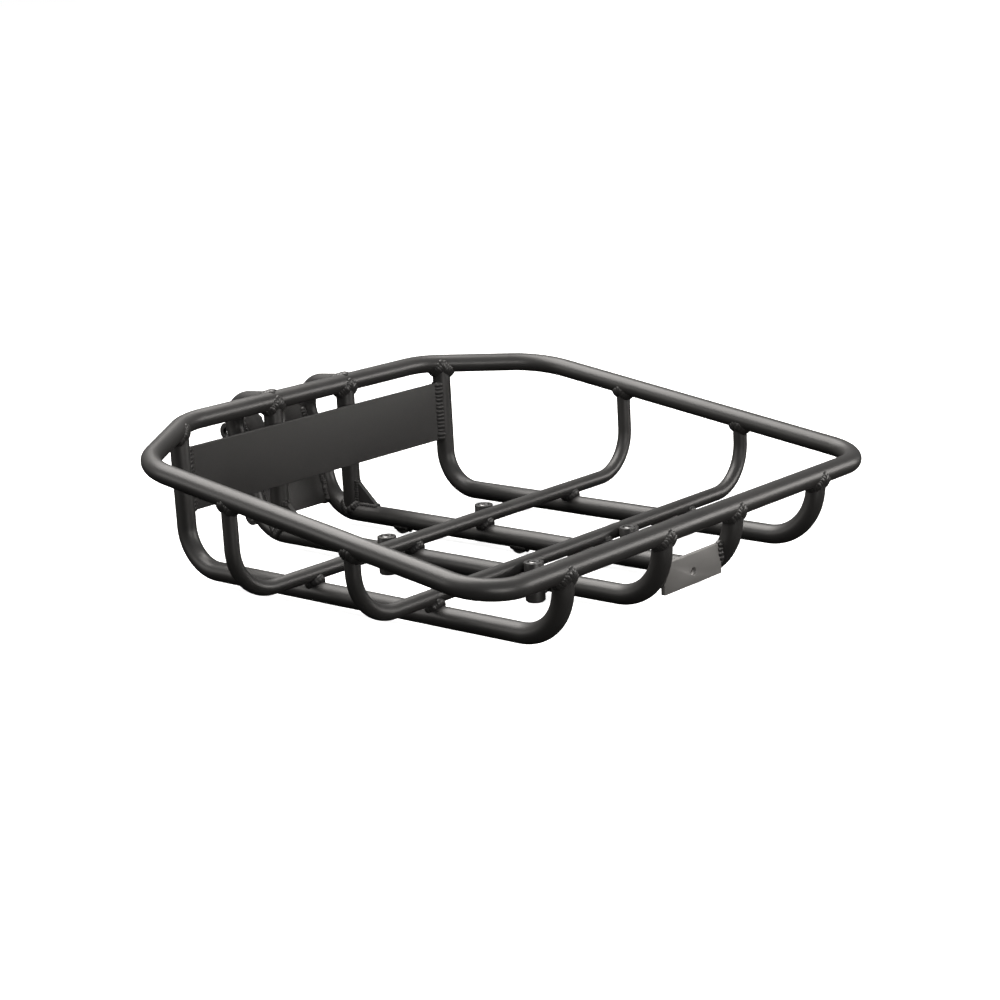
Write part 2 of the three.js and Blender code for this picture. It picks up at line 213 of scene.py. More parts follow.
FLOOR_RADIUS = 60
floor_mesh = bpy.data.meshes.new("studio_floor")
floor_bm = bmesh.new()
bmesh.ops.create_circle(floor_bm, cap_ends=True, segments=96, radius=FLOOR_RADIUS)
floor_bm.to_mesh(floor_mesh)
floor_bm.free()
floor_mesh.transform(Matrix.Translation((0, 0, cad_box[0].z)))
floor_mesh.materials.append(floor_material())
floor = bpy.data.objects.new("studio_floor", floor_mesh)
bpy.context.scene.collection.objects.link(floor)
floor.visible_glossy = False
floor.visible_diffuse = False


# %% Light
def soft_panel(name, place, target, width, height, power, colour=(1, 1, 1)):
    """A rectangular soft light that faces its target."""
    data = bpy.data.lights.new(name, "AREA")
    data.shape = "RECTANGLE"
    data.size = width
    data.size_y = height
    data.energy = power
    data.color = colour
    panel = bpy.data.objects.new(name, data)
    direction = Vector(target) - Vector(place)
    panel.rotation_mode = "QUATERNION"
    panel.rotation_quaternion = direction.to_track_quat("-Z", "Y")
    panel.location = place
    bpy.context.scene.collection.objects.link(panel)
    return panel


CENTRE = (0, 0, 0.05)
WARM = (1, 0.965, 0.93)
soft_panel("panel_top", (0.0, 0.45, 1.25), CENTRE, 1.6, 1.1, 36, WARM)
soft_panel("panel_right", (1.05, -1.15, 0.32), CENTRE, 1.0, 0.55, 11, WARM)
soft_panel("panel_left", (-1.35, 0.95, 0.45), CENTRE, 0.7, 0.6, 3.4, WARM)
soft_panel("panel_front", (-0.55, -1.6, 0.25), CENTRE, 0.9, 0.4, 8.0, WARM)

world = bpy.data.worlds.new("studio")
bpy.context.scene.world = world
world.use_nodes = True
sky = world.node_tree
sky.nodes.clear()
sky_place = sky.nodes.new("ShaderNodeTexCoord")
sky_split = sky.nodes.new("ShaderNodeSeparateXYZ")
sky_ramp = sky.nodes.new("ShaderNodeValToRGB")
sky_ramp.color_ramp.elements[0].position = 0.42
sky_ramp.color_ramp.elements[0].color = (0.003, 0.003, 0.003, 1)
sky_ramp.color_ramp.elements[1].position = 0.75
sky_ramp.color_ramp.elements[1].color = (0.3, 0.3, 0.3, 1)
sky_shift = sky.nodes.new("ShaderNodeMapRange")
sky_shift.inputs["From Min"].default_value = -1
sky_light = sky.nodes.new("ShaderNodeBackground")
sky_seen = sky.nodes.new("ShaderNodeBackground")
sky_seen.inputs["Color"].default_value = (1, 1, 1, 1)
sky_mix = sky.nodes.new("ShaderNodeMixShader")
sky_path = sky.nodes.new("ShaderNodeLightPath")
sky_end = sky.nodes.new("ShaderNodeOutputWorld")
sky.links.new(sky_place.outputs["Generated"], sky_split.inputs["Vector"])
sky.links.new(sky_split.outputs["Z"], sky_shift.inputs["Value"])
sky.links.new(sky_shift.outputs["Result"], sky_ramp.inputs["Fac"])
sky.links.new(sky_ramp.outputs["Color"], sky_light.inputs["Color"])
sky.links.new(sky_path.outputs["Is Camera Ray"], sky_mix.inputs["Fac"])
sky.links.new(sky_light.outputs["Background"], sky_mix.inputs[1])
sky.links.new(sky_seen.outputs["Background"], sky_mix.inputs[2])
sky.links.new(sky_mix.outputs["Shader"], sky_end.inputs["Surface"])
print("four soft panels and a dim sky")

# %% [markdown]
# ## The coat
#
# Powder coat is fine plastic powder, melted on. It is never quite flat: up close it has a shallow
# texture like orange peel, and a grain finer than that, which together blur what it mirrors.
# Both are noise on Object coordinates, as bump and as small changes of roughness and tone.
# Tubes, plates and welds get one coat with slightly different values, since it lies thicker in places.
# The small lamp plate has a paler copy of the same coat, a painted reflection that stands in for the light
# it mirrors.


# %% Powder coat
def powder_coat(name, tone, roughness, peel=0.25, grain=0.12):
    """A satin black coat. tone is its darkness, and peel and grain are its two textures' depths."""
    material, tree = node_material(name)
    nodes, links = tree.nodes, tree.links
    place = nodes.new("ShaderNodeTexCoord")

    def noise(scale, detail):
        texture = nodes.new("ShaderNodeTexNoise")
        texture.inputs["Scale"].default_value = scale
        texture.inputs["Detail"].default_value = detail
        links.new(place.outputs["Object"], texture.inputs["Vector"])
        return texture

    def span(texture, low, high, start=0.3, stop=0.7):
        place_in_range = nodes.new("ShaderNodeMapRange")
        place_in_range.inputs["From Min"].default_value = start
        place_in_range.inputs["From Max"].default_value = stop
        place_in_range.inputs["To Min"].default_value = low
        place_in_range.inputs["To Max"].default_value = high
        links.new(texture.outputs["Fac"], place_in_range.inputs["Value"])
        return place_in_range

    cloud = noise(22, 3)
    speck = noise(1400, 2)
    shade = nodes.new("ShaderNodeMix")
    shade.data_type = "RGBA"
    shade.inputs["A"].default_value = (tone * 0.86, tone * 0.84, tone * 0.82, 1)
    shade.inputs["B"].default_value = (tone * 1.14, tone * 1.12, tone * 1.09, 1)
    links.new(span(cloud, 0, 1).outputs["Result"], shade.inputs["Factor"])
    satin = nodes.new("ShaderNodeMath")
    satin.operation = "ADD"
    links.new(span(cloud, roughness - 0.03, roughness + 0.03).outputs["Result"], satin.inputs[0])
    links.new(span(speck, -0.04, 0.04).outputs["Result"], satin.inputs[1])

    peel_bump = nodes.new("ShaderNodeBump")
    peel_bump.inputs["Strength"].default_value = peel
    peel_bump.inputs["Distance"].default_value = 0.12 * MM
    links.new(noise(520, 2).outputs["Fac"], peel_bump.inputs["Height"])
    grain_bump = nodes.new("ShaderNodeBump")
    grain_bump.inputs["Strength"].default_value = grain
    grain_bump.inputs["Distance"].default_value = 0.05 * MM
    links.new(speck.outputs["Fac"], grain_bump.inputs["Height"])
    links.new(peel_bump.outputs["Normal"], grain_bump.inputs["Normal"])

    surface = nodes.new("ShaderNodeBsdfPrincipled")
    surface.inputs["Specular IOR Level"].default_value = 0.62
    end = nodes.new("ShaderNodeOutputMaterial")
    links.new(shade.outputs["Result"], surface.inputs["Base Color"])
    links.new(satin.outputs["Value"], surface.inputs["Roughness"])
    links.new(grain_bump.outputs["Normal"], surface.inputs["Normal"])
    links.new(surface.outputs["BSDF"], end.inputs["Surface"])
    return material


tube_coat = powder_coat("tube_coat", 0.030, 0.40)
plate_coat = powder_coat("plate_coat", 0.026, 0.60)
# painted reflection: the lamp plate's coat is a paler copy of the powder coat, standing in for the light it
# mirrors
reflection_painted_coat = powder_coat("reflection_painted_coat", 0.18, 0.50)
weld_coat = powder_coat("weld_coat", 0.030, 0.36, peel=0.35)
print("coats:", tube_coat.name, plate_coat.name, reflection_painted_coat.name, weld_coat.name)


# %% Screw steel
def screw_steel():
    """Dull zinc-plated steel, brushed in rings by the tool that faced it."""
    material, tree = node_material("screw_steel")
    nodes, links = tree.nodes, tree.links
    place = nodes.new("ShaderNodeTexCoord")
    brush = nodes.new("ShaderNodeTexNoise")
    brush.inputs["Scale"].default_value = 900
    brush.inputs["Detail"].default_value = 4
    tone = nodes.new("ShaderNodeMapRange")
    tone.inputs["To Min"].default_value = 0.30
    tone.inputs["To Max"].default_value = 0.42
    rough = nodes.new("ShaderNodeMapRange")
    rough.inputs["To Min"].default_value = 0.24
    rough.inputs["To Max"].default_value = 0.40
    surface = nodes.new("ShaderNodeBsdfPrincipled")
    surface.inputs["Metallic"].default_value = 1
    end = nodes.new("ShaderNodeOutputMaterial")
    links.new(place.outputs["Object"], brush.inputs["Vector"])
    links.new(brush.outputs["Fac"], tone.inputs["Value"])
    links.new(brush.outputs["Fac"], rough.inputs["Value"])
    links.new(tone.outputs["Result"], surface.inputs["Base Color"])
    links.new(rough.outputs["Result"], surface.inputs["Roughness"])
    links.new(surface.outputs["BSDF"], end.inputs["Surface"])
    return material


steel = screw_steel()

# %% [markdown]
# ## Bent tubes
#
# A tube bender makes straight runs joined by round bends. Geometry Nodes do the same: a line of
# corners carries each corner's bend radius as an attribute, Fillet Curve rounds the corners, and
# Curve to Mesh sweeps a circle along the result. One tree serves every tube on the rack.
# A tube that ends on another tube stops at that tube's centreline, so its end is hidden inside.


# %% Helpers for trees and for baking
def socket(tree, name, kind, default=None):
    """Adds a named input to a tree."""
    item = tree.interface.new_socket(name, in_out="INPUT", socket_type=kind)
    if default is not None:
        item.default_value = default
    return item


def new_tree(name):
    """A geometry tree with its input and output nodes."""
    tree = bpy.data.node_groups.new(name, "GeometryNodeTree")
    tree.interface.new_socket("Geometry", in_out="OUTPUT", socket_type="NodeSocketGeometry")
    socket(tree, "Geometry", "NodeSocketGeometry")
    return tree, tree.nodes.new("NodeGroupInput"), tree.nodes.new("NodeGroupOutput")


def named(tree, name, kind):
    """A node that reads a named attribute."""
    node = tree.nodes.new("GeometryNodeInputNamedAttribute")
    node.data_type = kind
    node.inputs["Name"].default_value = name
    return node


def line_object(name, lines, attribute, kind):
    """An object made of lines. Each is (points, values, closed), with one value for each point."""
    points, values, edges = [], [], []
    for line_points, line_values, closed in lines:
        first = len(points)
        points += line_points
        values += line_values
        edges += [(first + i, first + i + 1) for i in range(len(line_points) - 1)]
        if closed:
            edges.append((len(points) - 1, first))
    mesh = bpy.data.meshes.new(name)
    mesh.from_pydata(points, edges, [])
    layer = mesh.attributes.new(attribute, kind, "POINT")
    for item, value in zip(layer.data, values):
        if kind == "FLOAT":
            item.value = value
        else:
            item.vector = value
    return bpy.data.objects.new(name, mesh)


def bake(host, tree, settings, name, sharp=40):
    """Runs a tree on an object with the given inputs, and returns the result as a plain mesh."""
    bpy.context.scene.collection.objects.link(host)
    modifier = host.modifiers.new(tree.name, "NODES")
    modifier.node_group = tree
    for item in tree.interface.items_tree:
        if item.in_out == "INPUT" and item.name in settings:
            modifier[item.identifier] = settings[item.name]
    return finish_mesh(host, name, sharp)


def finish_mesh(host, name, sharp=40):
    """Turns an object with live modifiers into a plain piece, smooth except at its sharp edges."""
    depsgraph = bpy.context.evaluated_depsgraph_get()
    mesh = bpy.data.meshes.new_from_object(host.evaluated_get(depsgraph), depsgraph=depsgraph)
    host.modifiers.clear()
    bpy.data.objects.remove(host)
    mesh.name = name
    mesh.shade_smooth()
    mesh.set_sharp_from_angle(angle=math.radians(sharp))
    piece = bpy.data.objects.new(name, mesh)
    bpy.context.scene.collection.objects.link(piece)
    mesh.calc_loop_triangles()
    print(f"{name}: {len(mesh.loop_triangles)} triangles")
    return piece


# %% The tree that bends and sweeps a tube
def bent_tube_tree():
    tree, start, end = new_tree("bent_tube")
    socket(tree, "Diameter", "NodeSocketFloat", TUBE)
    socket(tree, "Sides", "NodeSocketInt", 56)
    socket(tree, "Bend Steps", "NodeSocketInt", 22)
    socket(tree, "Coat", "NodeSocketMaterial")
    nodes, links = tree.nodes, tree.links
    to_curve = nodes.new("GeometryNodeMeshToCurve")
    fillet = nodes.new("GeometryNodeFilletCurve")
    fillet.mode = "POLY"
    bend = named(tree, "bend", "FLOAT")
    circle = nodes.new("GeometryNodeCurvePrimitiveCircle")
    half = nodes.new("ShaderNodeMath")
    half.operation = "MULTIPLY"
    half.inputs[1].default_value = 0.5
    sweep = nodes.new("GeometryNodeCurveToMesh")
    sweep.inputs["Fill Caps"].default_value = True
    real = nodes.new("GeometryNodeRealizeInstances")
    coat = nodes.new("GeometryNodeSetMaterial")
    links.new(start.outputs["Geometry"], to_curve.inputs["Mesh"])
    links.new(to_curve.outputs["Curve"], fillet.inputs["Curve"])
    links.new(bend.outputs["Attribute"], fillet.inputs["Radius"])
    links.new(start.outputs["Bend Steps"], fillet.inputs["Count"])
    links.new(fillet.outputs["Curve"], sweep.inputs["Curve"])
    links.new(start.outputs["Sides"], circle.inputs["Resolution"])
    links.new(start.outputs["Diameter"], half.inputs[0])
    links.new(half.outputs["Value"], circle.inputs["Radius"])
    links.new(circle.outputs["Curve"], sweep.inputs["Profile Curve"])
    links.new(sweep.outputs["Mesh"], real.inputs["Geometry"])
    links.new(real.outputs["Geometry"], coat.inputs["Geometry"])
    links.new(start.outputs["Coat"], coat.inputs["Material"])
    links.new(coat.outputs["Geometry"], end.inputs["Geometry"])
    return tree


bent_tube = bent_tube_tree()
pieces = []


def tube(name, node, corners, bends, diameter=TUBE, closed=False):
    """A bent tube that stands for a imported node. bends has one radius for each corner in between."""
    radii = bends if closed else [0.0] + bends + [0.0]
    host = line_object(name, [(corners, radii, closed)], "bend", "FLOAT")
    piece = bake(host, bent_tube, {"Diameter": diameter, "Coat": tube_coat}, name)
    pieces.append((piece, [node], "tube_coat"))
    return piece


# %% Rim
rim_corners = [(RIM_X, FRONT_Y, FRONT_Z), (RIM_X, SIDE_Y, rim_z(SIDE_Y)), (RIM_REAR_X, REAR_Y, REAR_Z)]
rim_corners += [(-x, y, z) for x, y, z in reversed(rim_corners)]
rim_bends = [RIM_FRONT_BEND, RIM_SIDE_BEND, RIM_REAR_BEND]
tube("rim", "rim_tube", rim_corners, rim_bends + rim_bends[::-1], closed=True)

# %% Rails and posts
for side_name, side in SIDES:
    outer = side * OUTER_X
    tube(f"rail_outer_{side_name}", f"outer_rail_{side_name}", [
        (outer + side * OUTER_FLARE, FRONT_Y, FRONT_Z),
        (outer, FRONT_Y + RAIL_FOOT, RAIL_Z),
        (outer, OUTER_REAR_Y, RAIL_Z),
        (outer, OUTER_REAR_Y, rim_z(OUTER_REAR_Y)),
    ], [RAIL_BEND, OUTER_REAR_BEND])
    inner = side * INNER_X
    tube(f"rail_inner_{side_name}", f"inner_rail_{side_name}", [
        (inner + side * INNER_FLARE, FRONT_Y, FRONT_Z),
        (inner, FRONT_Y + RAIL_FOOT, RAIL_Z),
        (inner, BACK_Y, RAIL_Z),
        (inner, lean_y(TOP_Z), TOP_Z),
        (inner, REAR_Y, REAR_Z),
    ], [RAIL_BEND, BACK_BEND, TOP_BEND])
    tube(f"post_rear_{side_name}", f"rear_post_{side_name}",
         [(inner, REAR_Y, REAR_Z), (inner, REAR_Y, RAIL_Z)], [])

# %% Cross tubes
for row in ("rear", "front"):
    y = CROSS_Y[row]
    tube(f"floor_tube_{row}", f"cross_tube_{row}", [
        (-RIM_X, y, rim_z(y)), (-RIM_X, y, CROSS_Z), (RIM_X, y, CROSS_Z), (RIM_X, y, rim_z(y)),
    ], [CROSS_BEND, CROSS_BEND], CROSS_TUBE)

# %% [markdown]
# ## Plates
#
# The plates are cut from sheet and tumbled before welding, so no edge is really sharp. Each one
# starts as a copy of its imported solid, with its loose triangles joined into whole faces again, and
# a Bevel modifier rounds its edges. A rounded edge catches a thin line of light, as a real one does.


# %% Plates with softened edges
def softened_plate(name, node, edge=0.5 * MM, coat=plate_coat):
    """A copy of a packed plate with rounded edges."""
    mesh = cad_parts[node].data.copy()
    bm = bmesh.new()
    bm.from_mesh(mesh)
    bmesh.ops.remove_doubles(bm, verts=bm.verts, dist=0.01 * MM)
    bmesh.ops.dissolve_limit(bm, angle_limit=math.radians(1), verts=bm.verts, edges=bm.edges)
    bm.to_mesh(mesh)
    bm.free()
    mesh.materials.clear()
    mesh.materials.append(coat)
    mesh.shade_smooth()
    host = bpy.data.objects.new(name, mesh)
    bpy.context.scene.collection.objects.link(host)
    bevel = host.modifiers.new("edge", "BEVEL")
    bevel.width = edge
    bevel.segments = 3
    bevel.limit_method = "ANGLE"
    bevel.angle_limit = math.radians(40)
    bevel.harden_normals = True
    piece = finish_mesh(host, name, sharp=180)
    pieces.append((piece, [node], "plate_coat"))
    return piece


softened_plate("back_plate", "rear_plate", 0.7 * MM)
softened_plate("clamp_plate", "bracket_plate", 0.8 * MM)
# the lamp plate takes the paler coat, whose light tone is a painted reflection
softened_plate("lamp_plate_front", "lamp_plate", 0.6 * MM, reflection_painted_coat)
for row in ("rear", "front"):
    softened_plate(f"half_round_tab_{row}", f"rail_tab_{row}")
for side_name, side in SIDES:
    softened_plate(f"corner_gusset_{side_name}", f"gusset_{side_name}")
    softened_plate(f"lug_upper_{side_name}", f"mount_lug_upper_{side_name}")
    softened_plate(f"lug_lower_{side_name}", f"mount_lug_lower_{side_name}")

# %% [markdown]
# ## Bosses and screws
#
# Each boss is turned from bar: a chamfered foot, a straight side, and a shallow recess on top that
# takes the head of a screw. A lathe makes it from one profile, and so does this loop, which turns
# the profile round an upright axis. The four screws are alike, so one Geometry Nodes tree makes
# the screw, with its hexagon socket, and puts a copy at each point it is given.


# %% Bosses
def turned(name, profile, segments, centre, material):
    """A closed profile of (radius, height) pairs turned round the vertical line through centre."""
    mesh = bpy.data.meshes.new(name)
    count = len(profile)
    points = []
    for i in range(segments):
        angle = 2 * math.pi * i / segments
        points += [(centre[0] + r * math.cos(angle), centre[1] + r * math.sin(angle), centre[2] + h)
                   for r, h in profile]
    faces = []
    for i in range(segments):
        here, there = i * count, (i + 1) % segments * count
        faces += [(here + j, there + j, there + (j + 1) % count, here + (j + 1) % count)
                  for j in range(count)]
    mesh.from_pydata(points, [], faces)
    mesh.materials.append(material)
    mesh.shade_smooth()
    mesh.set_sharp_from_angle(angle=math.radians(30))
    piece = bpy.data.objects.new(name, mesh)
    bpy.context.scene.collection.objects.link(piece)
    return piece


BOSS_BORE_R = 3.3 * MM
SINK_R = 4.8 * MM
SINK_DEPTH = 2.2 * MM
FOOT_CHAMFER = 1.2 * MM
TOP_CHAMFER = 0.6 * MM
BREAK = 0.25 * MM              # every other edge is broken by this much
boss_places = []
for row in ("rear", "front"):
    for side_name, side in SIDES:
        low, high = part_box(f"boss_{row}_{side_name}")
        boss_r = (high.x - low.x) / 2
        tall = high.z - low.z
        centre = ((low.x + high.x) / 2, (low.y + high.y) / 2, low.z)
        profile = [
            (BOSS_BORE_R + BREAK, 0), (boss_r - FOOT_CHAMFER, 0), (boss_r, FOOT_CHAMFER),
            (boss_r, tall - TOP_CHAMFER), (boss_r - TOP_CHAMFER * 0.3, tall - TOP_CHAMFER * 0.3),
            (boss_r - TOP_CHAMFER, tall), (SINK_R + BREAK, tall), (SINK_R, tall - BREAK),
            (SINK_R, tall - SINK_DEPTH), (BOSS_BORE_R, tall - SINK_DEPTH), (BOSS_BORE_R, BREAK),
        ]
        piece = turned(f"threaded_boss_{row}_{side_name}", profile, 64, centre, tube_coat)
        pieces.append((piece, [f"boss_{row}_{side_name}"], "tube_coat"))
        boss_places.append(Vector((centre[0], centre[1], low.z + tall - SINK_DEPTH + 0.3 * MM)))
print(len(boss_places), "bosses, top at", round(high.z / MM, 1), "mm")


# %% The tree that makes and places the screws
def screw_tree():
    tree, start, end = new_tree("socket_screws")
    socket(tree, "Head Diameter", "NodeSocketFloat", 9 * MM)
    socket(tree, "Head Height", "NodeSocketFloat", 1.9 * MM)
    socket(tree, "Shank Diameter", "NodeSocketFloat", 6 * MM)
    socket(tree, "Shank Length", "NodeSocketFloat", 16 * MM)
    socket(tree, "Socket Width", "NodeSocketFloat", 4 * MM)
    socket(tree, "Socket Depth", "NodeSocketFloat", 1.4 * MM)
    socket(tree, "Steel", "NodeSocketMaterial")
    nodes, links = tree.nodes, tree.links

    def scaled(name, factor):
        node = nodes.new("ShaderNodeMath")
        node.operation = "MULTIPLY"
        node.inputs[1].default_value = factor
        links.new(start.outputs[name], node.inputs[0])
        return node.outputs["Value"]

    def cylinder(radius, depth, sides, top=None):
        node = nodes.new("GeometryNodeMeshCone")
        node.inputs["Vertices"].default_value = sides
        links.new(radius, node.inputs["Radius Bottom"])
        links.new(top or radius, node.inputs["Radius Top"])
        links.new(depth, node.inputs["Depth"])
        return node.outputs["Mesh"]

    def raised(mesh, height):
        place = nodes.new("ShaderNodeCombineXYZ")
        links.new(height, place.inputs["Z"])
        node = nodes.new("GeometryNodeTransform")
        links.new(mesh, node.inputs["Geometry"])
        links.new(place.outputs["Vector"], node.inputs["Translation"])
        return node.outputs["Geometry"]

    full = scaled("Head Diameter", 0.5)
    low_head = cylinder(full, scaled("Head Height", 0.6), 48)
    top_head = raised(cylinder(full, scaled("Head Height", 0.4), 48, scaled("Head Diameter", 0.4)),
                      scaled("Head Height", 0.6))
    shank = raised(cylinder(scaled("Shank Diameter", 0.5), scaled("Shank Length", 1), 32),
                   scaled("Shank Length", -1))
    drop = nodes.new("ShaderNodeMath")
    drop.operation = "SUBTRACT"
    links.new(start.outputs["Head Height"], drop.inputs[0])
    links.new(start.outputs["Socket Depth"], drop.inputs[1])
    tool = raised(cylinder(scaled("Socket Width", 0.5), scaled("Socket Depth", 2), 6), drop.outputs["Value"])
    solid = nodes.new("GeometryNodeMeshBoolean")
    solid.operation = "UNION"
    for part in (low_head, top_head, shank):
        links.new(part, solid.inputs["Mesh 2"])
    cut = nodes.new("GeometryNodeMeshBoolean")
    cut.operation = "DIFFERENCE"
    links.new(solid.outputs["Mesh"], cut.inputs["Mesh 1"])
    links.new(tool, cut.inputs["Mesh 2"])
    spread = nodes.new("GeometryNodeInstanceOnPoints")
    real = nodes.new("GeometryNodeRealizeInstances")
    finish = nodes.new("GeometryNodeSetMaterial")
    links.new(start.outputs["Geometry"], spread.inputs["Points"])
    links.new(cut.outputs["Mesh"], spread.inputs["Instance"])
    links.new(spread.outputs["Instances"], real.inputs["Geometry"])
    links.new(real.outputs["Geometry"], finish.inputs["Geometry"])
    links.new(start.outputs["Steel"], finish.inputs["Material"])
    links.new(finish.outputs["Geometry"], end.inputs["Geometry"])
    return tree


# %% Screws
screw_mesh = bpy.data.meshes.new("boss_screws")
screw_mesh.from_pydata(boss_places, [], [])
screw_host = bpy.data.objects.new("boss_screws", screw_mesh)
screws = bake(screw_host, screw_tree(), {"Steel": steel}, "socket_screws", sharp=25)
screw_nodes = [f"boss_screw_{row}_{side_name}" for row in ("rear", "front") for side_name, _ in SIDES]
pieces.append((screws, screw_nodes, "screw_steel"))

# %% [markdown]
# ## Weld beads
#
# A weld bead is a row of small pools of metal, each frozen half over the last, like a stack of
# coins pushed over. Geometry Nodes lay such a row along any line: the line is cut into steps, and a
# flattened ball, tilted back along the line, is put at each. A fixed seed makes the pools slightly
# uneven, as a hand-made weld is. Python works out only the lines, from where the pieces touch.


# %% The tree that lays a bead
def weld_bead_tree():
    tree, start, end = new_tree("weld_bead")
    socket(tree, "Pitch", "NodeSocketFloat", 2.3 * MM)
    socket(tree, "Width", "NodeSocketFloat", 10.4 * MM)
    socket(tree, "Height", "NodeSocketFloat", 5.0 * MM)
    socket(tree, "Length", "NodeSocketFloat", 6.6 * MM)
    socket(tree, "Tilt", "NodeSocketFloat", math.radians(12))
    socket(tree, "Wander", "NodeSocketFloat", 0.25 * MM)
    socket(tree, "Unevenness", "NodeSocketFloat", 0.08)
    socket(tree, "Seed", "NodeSocketInt", 7)
    socket(tree, "Coat", "NodeSocketMaterial")
    nodes, links = tree.nodes, tree.links

    def maths(operation, first, second):
        node = nodes.new("ShaderNodeMath")
        node.operation = operation
        for value, place in ((first, node.inputs[0]), (second, node.inputs[1])):
            if isinstance(value, (int, float)):
                place.default_value = value
            else:
                links.new(value, place)
        return node.outputs["Value"]

    def vector(x, y, z):
        node = nodes.new("ShaderNodeCombineXYZ")
        for value, place in zip((x, y, z), node.inputs):
            links.new(value, place)
        return node.outputs["Vector"]

    to_curve = nodes.new("GeometryNodeMeshToCurve")
    steps = nodes.new("GeometryNodeResampleCurve")
    steps.mode = "LENGTH"
    links.new(start.outputs["Geometry"], to_curve.inputs["Mesh"])
    links.new(to_curve.outputs["Curve"], steps.inputs["Curve"])
    links.new(start.outputs["Pitch"], steps.inputs["Length"])

    wander = nodes.new("FunctionNodeRandomValue")
    wander.data_type = "FLOAT_VECTOR"
    low = maths("MULTIPLY", start.outputs["Wander"], -1)
    links.new(vector(low, low, low), wander.inputs["Min"])
    high = start.outputs["Wander"]
    links.new(vector(high, high, high), wander.inputs["Max"])
    links.new(start.outputs["Seed"], wander.inputs["Seed"])
    nudge = nodes.new("GeometryNodeSetPosition")
    links.new(steps.outputs["Curve"], nudge.inputs["Geometry"])
    links.new(wander.outputs["Value"], nudge.inputs["Offset"])

    outward = named(tree, "outward", "FLOAT_VECTOR")
    tangent = nodes.new("GeometryNodeInputTangent")
    facing = nodes.new("FunctionNodeAxesToRotation")
    facing.primary_axis = "Z"
    facing.secondary_axis = "X"
    links.new(outward.outputs["Attribute"], facing.inputs["Primary Axis"])
    links.new(tangent.outputs["Tangent"], facing.inputs["Secondary Axis"])
    lean = nodes.new("FunctionNodeRotateRotation")
    lean.rotation_space = "LOCAL"
    lean_by = nodes.new("FunctionNodeEulerToRotation")
    lean_axes = nodes.new("ShaderNodeCombineXYZ")
    links.new(start.outputs["Tilt"], lean_axes.inputs["Y"])
    links.new(lean_axes.outputs["Vector"], lean_by.inputs["Euler"])
    links.new(facing.outputs["Rotation"], lean.inputs["Rotation"])
    links.new(lean_by.outputs["Rotation"], lean.inputs["Rotate By"])

    size = nodes.new("FunctionNodeRandomValue")
    size.data_type = "FLOAT"
    links.new(maths("SUBTRACT", 1, start.outputs["Unevenness"]), size.inputs[2])
    links.new(maths("ADD", 1, start.outputs["Unevenness"]), size.inputs[3])
    links.new(maths("ADD", start.outputs["Seed"], 1), size.inputs["Seed"])
    shape = vector(*[maths("MULTIPLY", start.outputs[side], 0.5) for side in ("Length", "Width", "Height")])
    uneven = nodes.new("ShaderNodeVectorMath")
    uneven.operation = "SCALE"
    links.new(shape, uneven.inputs[0])
    links.new(size.outputs[1], uneven.inputs["Scale"])

    pool = nodes.new("GeometryNodeMeshIcoSphere")
    pool.inputs["Radius"].default_value = 1
    pool.inputs["Subdivisions"].default_value = 3
    lay = nodes.new("GeometryNodeInstanceOnPoints")
    links.new(nudge.outputs["Geometry"], lay.inputs["Points"])
    links.new(pool.outputs["Mesh"], lay.inputs["Instance"])
    links.new(lean.outputs["Rotation"], lay.inputs["Rotation"])
    links.new(uneven.outputs["Vector"], lay.inputs["Scale"])
    real = nodes.new("GeometryNodeRealizeInstances")
    coat = nodes.new("GeometryNodeSetMaterial")
    links.new(lay.outputs["Instances"], real.inputs["Geometry"])
    links.new(real.outputs["Geometry"], coat.inputs["Geometry"])
    links.new(start.outputs["Coat"], coat.inputs["Material"])
    links.new(coat.outputs["Geometry"], end.inputs["Geometry"])
    return tree


weld_bead = weld_bead_tree()


# %% Lines where a tube meets a tube
CORNER_LIFT = 1.1 * MM         # a bead in a square corner stands this far out of it
FLUSH_SINK = 1.0 * MM          # and this deep where the two tubes' sides are flush


def saddle(end, along, stub_r, main_point, main_along, main_r=R, count=48):
    """The closed line where a stub tube's side runs into a main tube's side.

    end is a point on the stub's centreline inside the main tube, and along leads out of it.
    """
    end, main_point = Vector(end), Vector(main_point)
    along, main_along = Vector(along).normalized(), Vector(main_along).normalized()
    first = along.cross(main_along).normalized()
    second = along.cross(first)
    points, outward = [], []
    for i in range(count):
        angle = 2 * math.pi * i / count
        radial = first * math.cos(angle) + second * math.sin(angle)
        offset = end + radial * stub_r - main_point
        across = offset - main_along * offset.dot(main_along)
        rise_along = along - main_along * along.dot(main_along)
        a, b = rise_along.length_squared, across.dot(rise_along)
        c = across.length_squared - main_r ** 2
        t = (-b + math.sqrt(max(b * b - a * c, 0))) / a
        away = (across + rise_along * t).normalized()
        normal = (radial + away).normalized()
        flush = max(radial.dot(away), 0)
        lift = CORNER_LIFT - flush * (CORNER_LIFT + FLUSH_SINK)
        points.append(end + radial * stub_r + along * t + normal * lift)
        outward.append(normal)
    return points, outward, True


def straight(start, end, outward):
    """A straight weld line that faces one way."""
    return [Vector(start), Vector(end)], [Vector(outward).normalized()] * 2, False


def crossing(x, y, z, upper_r=CROSS_R, lower_r=R, reach=5.9 * MM, count=32):
    """The closed line round the spot where one tube, along X, lies on another, along Y.

    z is the height of the spot. The line stays midway between the two tubes' surfaces.
    """
    points, outward = [], []
    for i in range(count):
        angle = 2 * math.pi * i / count
        dx, dy = reach * math.cos(angle), reach * math.sin(angle)
        over = upper_r - math.sqrt(upper_r ** 2 - dy ** 2)
        under = lower_r - math.sqrt(lower_r ** 2 - dx ** 2)
        points.append(Vector((x + dx, y + dy, z + (over - under) / 2)))
        outward.append(Vector((dx, dy, 0)).normalized())
    return points, outward, True


weld_count = 0


